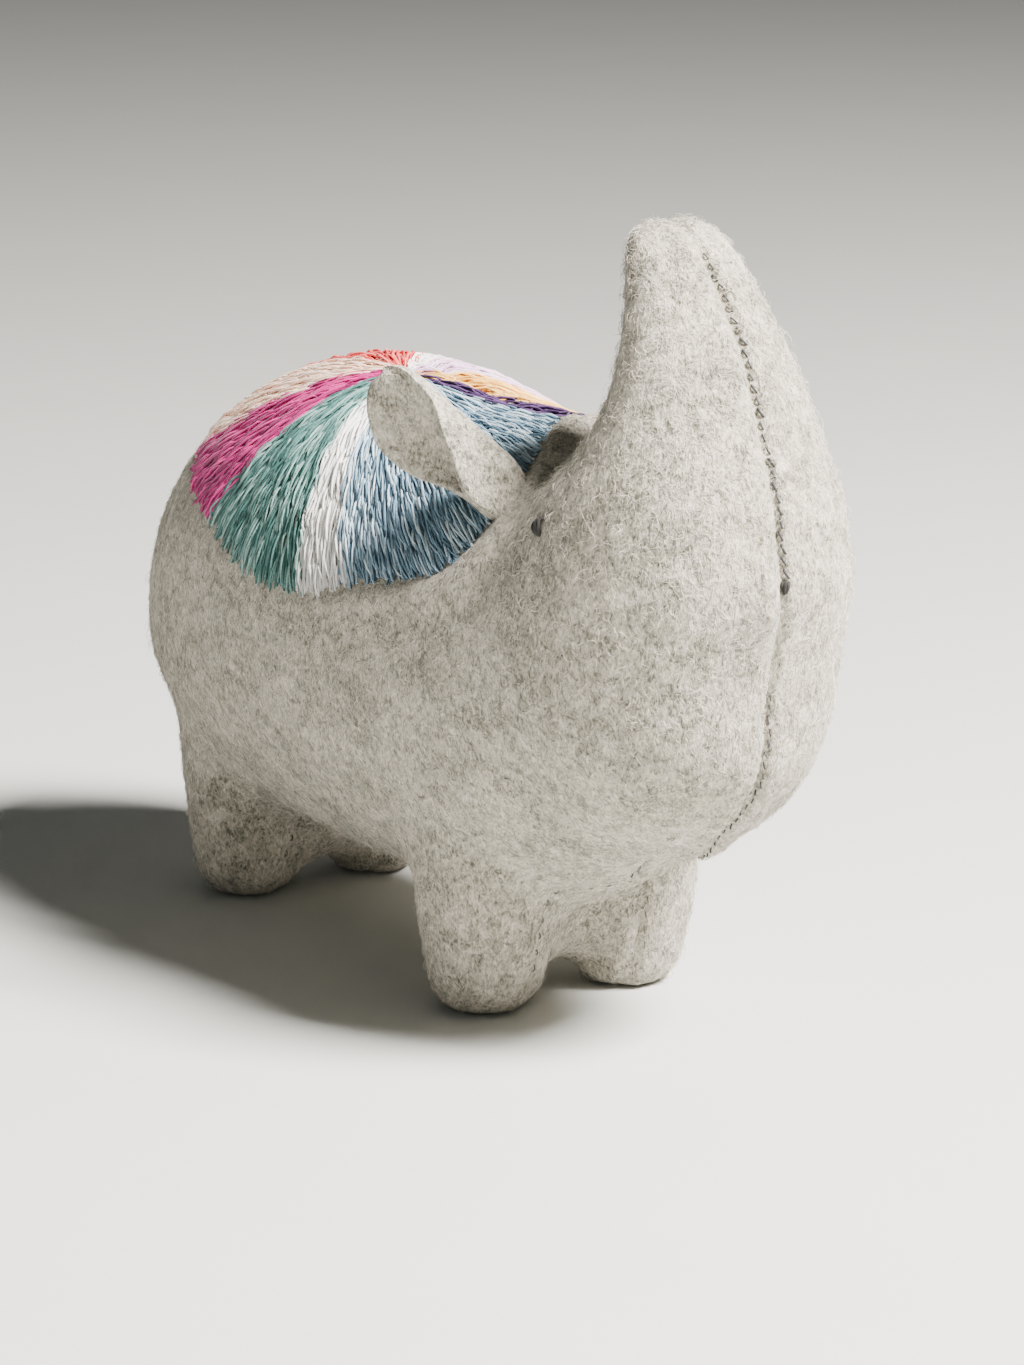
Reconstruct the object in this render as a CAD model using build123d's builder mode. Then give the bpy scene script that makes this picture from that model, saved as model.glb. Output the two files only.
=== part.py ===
"""A small stuffed elephant, hand sewn from wool felt.

Two side panels meet down the face, the nape and the rump, and a belly gusset closes the body
underneath and makes the inside half of each leg.  The ears and the tail are sewn on, and a
round motif of coloured thread covers the back.  Millimetres, +Z up, the face towards +X.
The elephant stands on its four soles with the origin under the middle of its overall box.
"""
import os

from build123d import *

# Overall sizes
body_length = 134.5      # from the rump to the chest, which the head covers
back_height = 90.5       # from the floor to the top of the back
body_width = 64.0
trunk_height = 121.5     # from the floor to the tip of the raised trunk
head_depth = 59.0        # from the nape to the face
head_width = 52.0

# How far the tail and the face stand out past the body's two ends
tail_overhang = 4.8
face_overhang = 19.6
rump_x = tail_overhang - (body_length + tail_overhang + face_overhang) / 2
neck_x = rump_x + body_length - 13.0

# Felt
felt = 2.0               # thickness of the sheet that the panels are cut from
tail_gap = 0.4           # clearance between the tail and the rump

# Legs
front_leg_radius = 10.6
hind_leg_radius = 10.2
front_leg_x = neck_x - 24.0
hind_leg_x = rump_x + 25.0
front_leg_y = 12.4
hind_leg_y = 11.6
leg_top = 32.0           # where a leg ends inside the body
leg_flare = 1.12         # how much wider a leg is there than at its foot
foot_round = 5.0         # the rounding between a leg and its sole

# Belly gusset
front_gusset_half = 9.0
belly_gusset_half = 12.0
hind_gusset_half = 9.0
gusset_at_leg = 11.0     # it keeps its width this far before and behind a leg's middle
gusset_front_x = neck_x - 6.0
gusset_rear_x = rump_x + 3.5
gusset_top = 36.0

# Thread
stitch_pitch = 1.7
gusset_stitch_pitch = 2.6
stitch_length = 1.15
stitch_radius = 0.3
thread_depth = 0.9       # how far the embroidery stands out from the felt
mouth_height = 75.0      # where the face seam ends in a knot
knot_radius = 0.7
knot_drop = 1.2          # from the last stitch down to the knot
off_seam = 0.01          # sight lines pass this far beside the centre plane

# Ears
ear_x = neck_x - 14.0
ear_height = 81.0
ear_tilt = (-0.585, -0.450, 0.676)       # from the root to the tip of the right ear
ear_edge = (0.85, 0.31, 0.424)           # along the line that the right ear is sewn on
ear_lift = 1.6           # from the embroidery to the ear's root, so that it can swing
ear_root_gap = thread_depth + ear_lift
ear_rim = 0.7            # how much narrower the inside of the cup is at each edge
ear_stitch_distance = 3.3
ear_stitch_reach = 2.8   # half the length of the row of stitches
ear_sections = [         # distance from the root, half width, depth of the cup
    (ear_root_gap, 3.0, 1.6),
    (5.5, 6.0, 3.2),
    (12.0, 7.8, 3.6),
    (18.5, 6.6, 2.6),
    (23.0, 3.4, 1.2),
    (24.8, 1.3, 0.5),
]

# Eyes
eye_x = neck_x + 4.6
eye_height = 80.1
eye_half_width = 0.9
eye_half_height = 1.7
eye_depth = 1.3          # thickness of the knot of thread
eye_sunk = 0.4           # how much of it is below the felt
eye_round = 0.3

# Tail
tail_height = 62.0
tail_length = 24.0
tail_thickness = 3.0
tail_width = 5.0
tail_root = 6.0          # how far down the tail leans before it hangs straight
tail_stitch_rise = 1.6

# Stuffing
wad_leg_top = 15.0       # leg wads reach up to here
wad_neck_x = neck_x - 8.0
wad_trunk_bottom = 88.0

# The body's sections: share of the body length, then the heights of the back and the belly
# as shares of the back's height, and the half width as a share of the body width.
torso_sections = [
    (0.000, 0.597, 0.486, 0.055),
    (0.015, 0.663, 0.420, 0.148),
    (0.048, 0.762, 0.320, 0.266),
    (0.112, 0.862, 0.232, 0.375),
    (0.219, 0.950, 0.182, 0.461),
    (0.353, 0.994, 0.155, 0.492),
    (0.487, 1.000, 0.149, 0.500),
    (0.636, 0.989, 0.160, 0.484),
    (0.770, 0.989, 0.193, 0.453),
    (0.874, 0.967, 0.254, 0.406),
    (0.955, 0.895, 0.365, 0.320),
    (1.000, 0.762, 0.519, 0.172),
]

# The head and trunk: share of the trunk's height, then the section's centre, half depth and
# half width as shares of the head's depth, depth and width.
head_sections = [
    (0.206, -0.068, 0.153, 0.135),
    (0.255, -0.034, 0.288, 0.269),
    (0.313, 0.000, 0.373, 0.356),
    (0.379, 0.000, 0.475, 0.442),
    (0.453, 0.000, 0.495, 0.500),
    (0.551, 0.037, 0.500, 0.500),
    (0.650, 0.127, 0.407, 0.442),
    (0.733, 0.208, 0.288, 0.365),
    (0.807, 0.231, 0.203, 0.288),
    (0.881, 0.200, 0.163, 0.227),
    (0.947, 0.132, 0.125, 0.173),
    (0.984, 0.090, 0.095, 0.135),
    (1.000, 0.078, 0.044, 0.065),
]

# The motif's edge, from the side: shares of the body length and of the back's height.
motif_edge = [
    (0.086, 0.972),
    (0.138, 0.867),
    (0.204, 0.801),
    (0.331, 0.735),
    (0.442, 0.683),
    (0.517, 0.674),
    (0.621, 0.707),
    (0.725, 0.757),
    (0.784, 0.782),
    (0.819, 0.851),
    (0.814, 0.928),
    (0.770, 0.976),
    (0.695, 1.039),
]
motif_centre = (rump_x + 0.464 * body_length, -5.0)

# The motif's wedges, clockwise from above, each from its own angle to the next one's.
wedges = [
    ("denim", 6.0),
    ("white", -49.0),
    ("teal", -68.0),
    ("magenta", -128.0),
    ("cream", -156.0),
    ("coral", -182.0),
    ("ivory", -213.0),
    ("lilac", -243.0),
    ("gold", -314.0),
    ("plum", -342.0),
    ("end", -354.0),
]


def torso_form(grow=0.0):
    """The body without its head and legs, grown or shrunk all round."""
    with BuildPart() as form:
        for along, back, belly, half in torso_sections:
            x = rump_x + along * body_length
            if along == 0:
                x -= grow
            if along == 1:
                x += grow
            middle = back_height * (back + belly) / 2
            with BuildSketch(Plane.YZ.offset(x)):
                with Locations((0, middle)):
                    Ellipse(half * body_width + grow, back_height * (back - belly) / 2 + grow)
        loft()
    return form.part


def head_form(grow=0.0):
    """The head and the raised trunk, grown or shrunk all round."""
    with BuildPart() as form:
        for up, centre, depth, half in head_sections:
            z = up * trunk_height
            if up == head_sections[0][0]:
                z -= grow
            if up == 1:
                z += grow
            with BuildSketch(Plane.XY.offset(z)):
                with Locations((neck_x + centre * head_depth, 0)):
                    Ellipse(depth * head_depth + grow, half * head_width + grow)
        loft()
    return form.part


def leg_form(x, y, radius, grow=0.0):
    """One leg, a cone with a rounded foot, from its sole to its buried top."""
    with BuildPart() as form:
        with Locations((x, y, -grow)):
            Cone(
                bottom_radius=radius + grow,
                top_radius=leg_flare * radius + grow,
                height=leg_top + grow,
                align=(Align.CENTER, Align.CENTER, Align.MIN),
            )
        sole_edge = form.edges().filter_by(GeomType.CIRCLE).sort_by(Axis.Z)[0]
        fillet(sole_edge, radius=foot_round + grow)
    return form.part


leg_places = {
    "front_right": (front_leg_x, -front_leg_y, front_leg_radius),
    "front_left": (front_leg_x, front_leg_y, front_leg_radius),
    "hind_right": (hind_leg_x, -hind_leg_y, hind_leg_radius),
    "hind_left": (hind_leg_x, hind_leg_y, hind_leg_radius),
}


def whole_form(grow=0.0):
    """The whole stuffed body, grown or shrunk all round."""
    with BuildPart() as form:
        add(torso_form(grow))
        add(head_form(grow))
        for x, y, radius in leg_places.values():
            add(leg_form(x, y, radius, grow))
    return form.part


outside = whole_form()
inside = whole_form(-felt)
middle_x = (front_leg_x + hind_leg_x) / 2
reach = 3 * body_length          # longer than anything here, for cutters and sight lines


def surface_point(start, direction):
    """Where a straight line first meets the outside of the body, and the normal there."""
    def ahead(hit):
        return (hit[0] - Vector(start)).dot(Vector(direction))

    hits = outside.find_intersection_points(Axis(start, direction))
    return min((hit for hit in hits if ahead(hit) > 0), key=ahead)


def save(builder, name):
    """Label a finished piece and write it."""
    builder.part.label = name
    export_step(builder.part, f"parts/{name}.step")


os.makedirs("parts", exist_ok=True)

# ---------------------------------------------------------------- felt panels
with BuildPart() as gusset_cutter:
    with BuildSketch(Plane.XY.offset(-1)):
        with BuildLine():
            half_outline = [
                (gusset_front_x, 0),
                (front_leg_x + gusset_at_leg, front_gusset_half),
                (front_leg_x - gusset_at_leg, front_gusset_half),
                (middle_x, belly_gusset_half),
                (hind_leg_x + gusset_at_leg, hind_gusset_half),
                (hind_leg_x - gusset_at_leg, hind_gusset_half),
                (gusset_rear_x, 0),
            ]
            other_half = [(x, -y) for x, y in reversed(half_outline[1:-1])]
            Polyline(*half_outline, *other_half, close=True)
        make_face()
    extrude(amount=gusset_top + 1)

with BuildPart() as skin:
    add(outside)
    add(inside, mode=Mode.SUBTRACT)

with BuildPart() as belly_gusset:
    add(skin.part)
    add(gusset_cutter.part, mode=Mode.INTERSECT)
save(belly_gusset, "belly_gusset")

with BuildPart() as side_panels:
    add(skin.part)
    add(gusset_cutter.part, mode=Mode.SUBTRACT)

for name, keep in (("side_panel_right", Keep.TOP), ("side_panel_left", Keep.BOTTOM)):
    with BuildPart() as side_panel:
        add(side_panels.part)
        split(bisect_by=Plane.XZ, keep=keep)
    save(side_panel, name)

# ---------------------------------------------------------------- stuffing
def wad(name, low, high):
    """The stuffing between two corners of a box, as one wad."""
    with BuildPart() as lump:
        add(inside)
        with Locations(tuple((a + b) / 2 for a, b in zip(low, high))):
            Box(*[b - a for a, b in zip(low, high)], mode=Mode.INTERSECT)
    save(lump, name)


for place, (x, y, _) in leg_places.items():
    side = (-reach, 0) if y < 0 else (0, reach)
    along = (middle_x, reach) if x > middle_x else (-reach, middle_x)
    wad(f"stuffing_leg_{place}", (along[0], side[0], 0), (along[1], side[1], wad_leg_top))
wad("stuffing_torso", (-reach, -reach, wad_leg_top), (wad_neck_x, reach, reach))
wad("stuffing_head", (wad_neck_x, -reach, wad_leg_top), (reach, reach, wad_trunk_bottom))
wad("stuffing_trunk", (wad_neck_x, -reach, wad_trunk_bottom), (reach, reach, reach))

# ---------------------------------------------------------------- embroidered motif
with BuildPart() as motif:
    add(torso_form(thread_depth))
    with BuildSketch(Plane.XZ.offset(-reach)):
        with BuildLine():
            edge_points = [
                (rump_x + along * body_length, up * back_height) for along, up in motif_edge
            ]
            Spline(*edge_points)
            front, rear = edge_points[-1], edge_points[0]
            Polyline(front, (front[0], reach), (rear[0], reach), rear)
        make_face()
    extrude(amount=2 * reach, mode=Mode.INTERSECT)
    add(outside, mode=Mode.SUBTRACT)

for (colour, start), (_, stop) in zip(wedges, wedges[1:]):
    with BuildPart() as threads:
        add(motif.part)
        with BuildSketch(Plane.XY):
            with BuildLine():
                rays = [PolarLine(motif_centre, reach, angle) for angle in (start, stop)]
                Line(rays[0] @ 1, rays[1] @ 1)
            make_face()
        extrude(amount=reach, mode=Mode.INTERSECT)
    save(threads, f"threads_{colour}")

# ---------------------------------------------------------------- eyes
eye_point, eye_normal = surface_point((eye_x, -reach, eye_height), (0, 1, 0))
eye_plane = Plane(origin=eye_point, x_dir=eye_normal.cross(Vector(0, 0, 1)), z_dir=eye_normal)
with BuildPart() as eye_right:
    with BuildSketch(eye_plane.offset(-eye_sunk)):
        Ellipse(eye_half_width, eye_half_height)
    extrude(amount=eye_depth)
    front_face = eye_right.faces().sort_by(Axis(eye_point, eye_normal))[-1]
    fillet(front_face.edges(), radius=eye_round)
save(eye_right, "eye_right")
with BuildPart() as eye_left:
    mirror(eye_right.part, about=Plane.XZ)
save(eye_left, "eye_left")

# ---------------------------------------------------------------- ears
ear_point, ear_normal = surface_point((ear_x, -reach, ear_height), (0, 1, 0))
ear_along = Vector(ear_tilt).normalized()
ear_line = (Vector(ear_edge) - ear_normal * ear_normal.dot(Vector(ear_edge))).normalized()
with BuildPart() as ear_right:
    for distance, half, cup in ear_sections:
        section_plane = Plane(
            origin=ear_point + ear_along * distance, x_dir=ear_line, z_dir=ear_normal
        )
        inner_half = half - ear_rim
        with BuildSketch(section_plane):
            with BuildLine():
                ThreePointArc((-half, 0), (0, cup), (half, 0))
                Line((half, 0), (inner_half, -felt))
                ThreePointArc((inner_half, -felt), (0, cup - 1.2 * felt), (-inner_half, -felt))
                Line((-inner_half, -felt), (-half, 0))
            make_face()
    loft()
save(ear_right, "ear_right")
with BuildPart() as ear_left:
    mirror(ear_right.part, about=Plane.XZ)
save(ear_left, "ear_left")
ear_pivot = ear_point + ear_along * ear_root_gap

# ---------------------------------------------------------------- tail
tail_point, tail_normal = surface_point((-reach, off_seam, tail_height), (1, 0, 0))
tail_x = tail_point.X - tail_gap - tail_thickness / 2
tail_hang_x = rump_x - 2 * tail_gap - tail_thickness / 2
with BuildPart() as tail:
    with BuildSketch(Plane.XZ.offset(-tail_width / 2)):
        with BuildLine():
            Polyline(
                (tail_x, tail_height + 1),
                (tail_hang_x, tail_height - tail_root),
                (tail_hang_x, tail_height - tail_length),
            )
        trace(line_width=tail_thickness)
    extrude(amount=tail_width)
save(tail, "tail")

# ---------------------------------------------------------------- seam threads
def on_felt(point):
    """The place on the felt that is nearest to a point."""
    return outside.distance_to_with_closest_points(Vertex(*point))[1]


def stitch_row(points, pitch=stitch_pitch):
    """Planes to place the stitches on, evenly spaced on a smooth line through the points."""
    with BuildLine():
        row = Spline(*points)
    count = max(1, int(row.length / pitch))
    spots = [(i + 0.5) / count for i in range(count)]
    return [Plane(origin=on_felt(row @ t), z_dir=row % t) for t in spots]


def seam(name, rows, pitch=stitch_pitch):
    """One seam's thread, as a row of separate stitches half sunk in the felt."""
    with BuildPart() as thread:
        for points in rows:
            with Locations(*stitch_row(points, pitch)):
                Cylinder(stitch_radius, stitch_length)
    save(thread, name)
    return thread


def from_front(z, y=off_seam):
    return surface_point((reach, y, z), (-1, 0, 0))[0]


def from_back(z, y=off_seam):
    return surface_point((-reach, y, z), (1, 0, 0))[0]


def from_below(x, y=off_seam):
    return surface_point((x, y, -reach), (0, 0, 1))[0]


def steps(start, stop, count):
    return [start + (stop - start) * i / (count - 1) for i in range(count)]


face_points = [from_front(z) for z in steps(0.975 * trunk_height, mouth_height, 12)]
seam("face_seam", [face_points])
with BuildPart() as mouth_knot:
    with Locations(face_points[-1] - Vector(0, 0, knot_drop)):
        Sphere(knot_radius)
save(mouth_knot, "mouth_knot")

chin_points = [from_front(z) for z in steps(0.48 * trunk_height, 0.3 * trunk_height, 6)]
chin_points += [from_below(x) for x in steps(neck_x + 14, neck_x - 5, 5)]
seam("chin_seam", [chin_points])

nape_points = [from_back(z) for z in steps(0.965 * trunk_height, back_height + 3, 7)]
seam("nape_seam", [nape_points])

rump_top = [from_back(z) for z in steps(0.83 * back_height, tail_height + 4, 4)]
rump_bottom = [from_back(z) for z in steps(tail_height - 5, 0.4 * back_height, 6)]
seam("rump_seam", [rump_top, rump_bottom])

for side, sign in (("right", -1), ("left", 1)):
    front_y = sign * front_gusset_half
    hind_y = sign * hind_gusset_half
    shares = steps(0.1, 0.9, 4)
    chest = [
        from_below(gusset_front_x + (front_leg_x + gusset_at_leg - gusset_front_x) * t, front_y * t)
        for t in shares
    ]
    front = [from_front(z, front_y) for z in steps(18, foot_round + 1, 5)]
    low = steps(foot_round + 1, 12, 3)
    front_back = [surface_point((middle_x, front_y, z), (1, 0, 0))[0] for z in low]
    belly = [
        from_below(middle_x + (front_leg_x - 14 - middle_x) * t,
                   sign * belly_gusset_half + (front_y - sign * belly_gusset_half) * t)
        for t in (0.9, 0.5, 0)
    ]
    belly += [
        from_below(middle_x + (hind_leg_x + 14 - middle_x) * t,
                   sign * belly_gusset_half + (hind_y - sign * belly_gusset_half) * t)
        for t in (0.5, 0.9)
    ]
    hind_front = [surface_point((middle_x, hind_y, z), (-1, 0, 0))[0] for z in reversed(low)]
    hind_back = [from_back(z, hind_y) for z in steps(foot_round + 1, 17, 4)]
    rear = [
        from_below(
            hind_leg_x - gusset_at_leg + (gusset_rear_x + gusset_at_leg - hind_leg_x) * t,
            hind_y * (1 - t),
        )
        for t in shares
    ]
    rows = [chest + front, front_back + belly + hind_front, hind_back + rear]
    seam(f"gusset_seam_{side}", rows, gusset_stitch_pitch)

ear_across = ear_normal.cross(ear_line)
with BuildPart() as ear_stitches_right:
    for spot in steps(-ear_stitch_reach, ear_stitch_reach, 5):
        origin = on_felt(ear_point + ear_line * spot - ear_across * ear_stitch_distance)
        with Locations(Plane(origin=origin, z_dir=ear_across)):
            Cylinder(stitch_radius, stitch_length)
save(ear_stitches_right, "ear_stitches_right")
with BuildPart() as ear_stitches_left:
    mirror(ear_stitches_right.part, about=Plane.XZ)
save(ear_stitches_left, "ear_stitches_left")

with BuildPart() as tail_stitches:
    for sign in (-1, 1):
        for rise in (-tail_stitch_rise, 0, tail_stitch_rise):
            y = sign * (tail_width / 2 + stitch_length)
            spot = from_back(tail_height + rise, y)
            with Locations(Plane(origin=spot, z_dir=(0, 1, 0))):
                Cylinder(stitch_radius, stitch_length)
save(tail_stitches, "tail_stitches")

print("right ear: pivot", ear_pivot, "axis", ear_line)
print("tail: pivot", tail_x, tail_height)
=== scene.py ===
"""Looks for the hand-sewn felt elephant: felt panels with sewn seams, a brushed nap, a round
motif of long coloured stitches on the back, cupped ears, thread eyes and a small tail."""

import math
import random

import bmesh
import bpy
import numpy as np
from mathutils import Matrix, Vector, noise
from mathutils.bvhtree import BVHTree
from mathutils.kdtree import KDTree


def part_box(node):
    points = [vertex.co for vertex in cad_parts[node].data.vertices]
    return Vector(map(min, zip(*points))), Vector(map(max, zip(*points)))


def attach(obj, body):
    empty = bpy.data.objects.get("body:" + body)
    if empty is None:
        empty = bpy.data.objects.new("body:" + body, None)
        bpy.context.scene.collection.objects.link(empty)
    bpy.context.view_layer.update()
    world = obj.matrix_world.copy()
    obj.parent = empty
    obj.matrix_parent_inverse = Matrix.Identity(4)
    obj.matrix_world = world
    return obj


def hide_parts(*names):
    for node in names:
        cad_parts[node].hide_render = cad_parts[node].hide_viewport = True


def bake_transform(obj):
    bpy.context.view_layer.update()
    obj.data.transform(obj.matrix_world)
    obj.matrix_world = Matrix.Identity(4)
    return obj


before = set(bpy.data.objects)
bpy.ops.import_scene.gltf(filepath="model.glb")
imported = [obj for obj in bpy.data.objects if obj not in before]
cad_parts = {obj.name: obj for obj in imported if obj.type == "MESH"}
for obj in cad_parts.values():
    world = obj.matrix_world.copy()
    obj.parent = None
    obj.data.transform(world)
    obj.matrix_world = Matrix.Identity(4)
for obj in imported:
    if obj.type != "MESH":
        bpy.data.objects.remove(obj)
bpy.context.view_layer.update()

mm = 0.001
FELT = 2.0 * mm                  # thickness of the felt sheet
VOXEL = 1.15 * mm                # grain of the mesh that the body is first made with
SEED = 7


def middle(node):
    """The middle of a CAD node's box."""
    low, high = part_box(node)
    return (low + high) / 2


LEG_PLACES = ("front_left", "front_right", "hind_left", "hind_right")
LEGS = [middle(f"stuffing_leg_{place}") for place in LEG_PLACES]
FRONT_X = LEGS[0].x
HIND_X = LEGS[2].x
BACK_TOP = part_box("threads_coral")[1].z
BODY_LOW, BODY_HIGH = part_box("side_panel_left")
NECK_X = BODY_HIGH.x - 33 * mm
SPINE_Z = 0.56 * BACK_TOP        # height of the line that the motif is wrapped round


# ------------------------------------------------------------------ small tools
def unit(rows):
    """Rows of vectors, each made one long."""
    return rows / np.maximum(np.linalg.norm(rows, axis=-1, keepdims=True), 1e-12)


def coords(mesh):
    out = np.empty(len(mesh.vertices) * 3, np.float32)
    mesh.vertices.foreach_get("co", out)
    return out.reshape(-1, 3).astype(float)


def normals(mesh):
    out = np.empty(len(mesh.vertices) * 3, np.float32)
    mesh.vertices.foreach_get("normal", out)
    return out.reshape(-1, 3).astype(float)


def set_coords(mesh, points):
    mesh.vertices.foreach_set("co", np.asarray(points, np.float32).ravel())
    mesh.update()


def new_object(name, mesh):
    thing = bpy.data.objects.new(name, mesh)
    bpy.context.scene.collection.objects.link(thing)
    return thing


def baked(thing):
    """The object's mesh with its modifiers applied, as a new plain mesh."""
    bpy.context.view_layer.update()
    graph = bpy.context.evaluated_depsgraph_get()
    return bpy.data.meshes.new_from_object(thing.evaluated_get(graph))


def settle(thing):
    """Replace an object's mesh by its finished one and drop the modifiers."""
    mesh = baked(thing)
    thing.modifiers.clear()
    thing.data = mesh
    return thing


def smooth_noise(points, size, seed):
    """Soft random values from -1 to 1 that change over about the given size."""
    shift = Vector((seed * 1.37, seed * 2.11, seed * 0.73))
    return np.array([noise.noise(Vector(p) / size + shift) for p in points])


def islands(node):
    """The separate solids of a CAD node: the middle and the long direction of each."""
    mesh = bmesh.new()
    mesh.from_mesh(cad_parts[node].data)
    bmesh.ops.remove_doubles(mesh, verts=mesh.verts, dist=0.001 * mm)
    seen = set()
    found = []
    for start in mesh.verts:
        if start.index in seen:
            continue
        stack = [start]
        seen.add(start.index)
        members = []
        while stack:
            vert = stack.pop()
            members.append(vert.co.copy())
            for edge in vert.link_edges:
                other = edge.other_vert(vert)
                if other.index not in seen:
                    seen.add(other.index)
                    stack.append(other)
        points = np.array(members)
        centre = points.mean(0)
        _, _, axes = np.linalg.svd(points - centre, full_matrices=False)
        found.append((centre, axes[0]))
    mesh.free()
    return found


# ------------------------------------------------------------------ material maths
class Flow:
    """A socket that can be used in sums, so that a pattern reads as an expression."""

    def __init__(self, tree, socket):
        self.tree = tree
        self.socket = socket

    def sum(self, operation, *terms):
        node = self.tree.nodes.new("ShaderNodeMath")
        node.operation = operation
        for slot, term in zip(node.inputs, terms):
            feed(self.tree, slot, term)
        return Flow(self.tree, node.outputs[0])

    def __add__(self, other):
        return self.sum("ADD", self, other)

    def __sub__(self, other):
        return self.sum("SUBTRACT", self, other)

    def __rsub__(self, other):
        return self.sum("SUBTRACT", other, self)

    def __mul__(self, other):
        return self.sum("MULTIPLY", self, other)

    def distance(self, other):
        return self.sum("ABSOLUTE", self - other)

    __radd__ = __add__
    __rmul__ = __mul__


def feed(tree, slot, value):
    """Link a flow to a socket, or set the socket to a plain value."""
    if isinstance(value, Flow):
        tree.links.new(value.socket, slot)
    elif isinstance(value, (tuple, list)) and slot.type == "RGBA" and len(value) == 3:
        slot.default_value = (*value, 1)
    else:
        slot.default_value = value


class Finish:
    """A material being built from nodes."""

    def __init__(self, name):
        self.material = bpy.data.materials.new(name)
        self.material.use_nodes = True
        self.tree = self.material.node_tree
        self.surface = self.tree.nodes["Principled BSDF"]

    def node(self, kind, settings=None, sockets=None, output=0):
        node = self.tree.nodes.new(kind)
        for key, value in (settings or {}).items():
            if key == "stops":
                ramp = node.color_ramp.elements
                while len(ramp) < len(value):
                    ramp.new(0.5)
                for stop, (position, colour) in zip(ramp, value):
                    stop.position = position
                    stop.color = (*colour, 1)
            else:
                setattr(node, key, value)
        for key, value in (sockets or {}).items():
            feed(self.tree, node.inputs[key], value)
        return Flow(self.tree, node.outputs[output])

    def place(self, stretch=(1, 1, 1)):
        """Object coordinates, stretched."""
        here = self.node("ShaderNodeTexCoord", output="Object")
        return self.node("ShaderNodeMapping", None, {"Vector": here, "Scale": stretch})

    def noise(self, where, size, detail=3.0, roughness=0.5, distortion=0.0):
        """Cloudy values from 0 to 1, with features of about the given size."""
        return self.node(
            "ShaderNodeTexNoise",
            None,
            {"Vector": where, "Scale": 1 / size, "Detail": detail, "Roughness": roughness,
             "Distortion": distortion},
        )

    def attribute(self, name):
        return self.node("ShaderNodeAttribute", {"attribute_name": name}, output="Fac")

    def ramp(self, value, *stops):
        return self.node("ShaderNodeValToRGB", {"stops": stops}, {"Fac": value})

    def bump(self, height, distance, strength=1.0, normal=None):
        sockets = {"Height": height, "Distance": distance, "Strength": strength}
        if normal:
            sockets["Normal"] = normal
        return self.node("ShaderNodeBump", None, sockets)

    def set(self, **values):
        for key, value in values.items():
            feed(self.tree, self.surface.inputs[key.replace("_", " ")], value)
        return self.material


# ------------------------------------------------------------------ finishes
def felt_finish(name, light, middle, dark):
    """Thick brushed wool felt: matted curly tufts, pale where they stand and dark between, which is
    painted light and shade over the wool's own uneven tone.
    """
    felt = Finish(name)
    where = felt.place()
    brushed = felt.place((1.0, 1.0, 0.5))
    curls = felt.noise(brushed, 0.46 * mm, 4.0, 0.66, 0.7)
    strands = 1 - felt.noise(brushed, 0.70 * mm, 2.0, 0.5, 1.8).distance(0.5) * 9
    tufts = felt.noise(where, 2.3 * mm, 3.0, 0.62, 0.9)
    clouds = felt.noise(where, 11 * mm, 2.0, 0.5)
    shade = curls * 0.52 + tufts * 0.34 + strands * 0.022 + clouds * 0.14 - 0.012
    # the ramp's dark end is painted shade in the hollows between tufts and its pale end is painted
    # light on their tops, where the bump below rises
    colour = felt.ramp(shade, (0.385, dark), (0.495, middle), (0.61, light))
    lumps = felt.bump(tufts, 0.9 * mm, 0.8)
    fine = felt.bump(curls + strands * 0.12, 0.45 * mm, 0.9, lumps)
    return felt.set(
        Base_Color=colour,
        Roughness=0.95,
        Normal=fine,
        Sheen_Weight=0.35,
        Sheen_Roughness=0.5,
        Sheen_Tint=(1.0, 0.95, 0.90),
        Specular_IOR_Level=0.12,
    )


def fibre_finish(name, light, dark):
    """Single wool fibres of the nap."""
    fibre = Finish(name)
    tint = fibre.noise(fibre.place(), 2.3 * mm, 2.0)
    shade = tint * 0.6 + fibre.attribute("tint") * 0.5 - 0.05
    return fibre.set(
        Base_Color=fibre.ramp(shade, (0.30, dark), (0.66, light)),
        Roughness=0.8,
        Specular_IOR_Level=0.3,
        Sheen_Weight=0.3,
    )


def thread_finish(name, dark, middle, light, roughness=0.5):
    """Stranded cotton: each strand has its own tint, and fine plies along it."""
    thread = Finish(name)
    strand = thread.attribute("tint")
    plies = thread.noise(thread.place(), 0.35 * mm, 3.0, 0.6)
    shade = strand * 0.75 + plies * 0.5 - 0.12
    return thread.set(
        Base_Color=thread.ramp(shade, (0.08, dark), (0.46, middle), (0.95, light)),
        Roughness=roughness,
        Specular_IOR_Level=0.4,
        Sheen_Weight=0.08,
        Normal=thread.bump(plies, 0.12 * mm, 0.6),
    )


# light, middle and dark felt tones; the light and dark ends carry painted light and painted shade
# on the tufts
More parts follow.
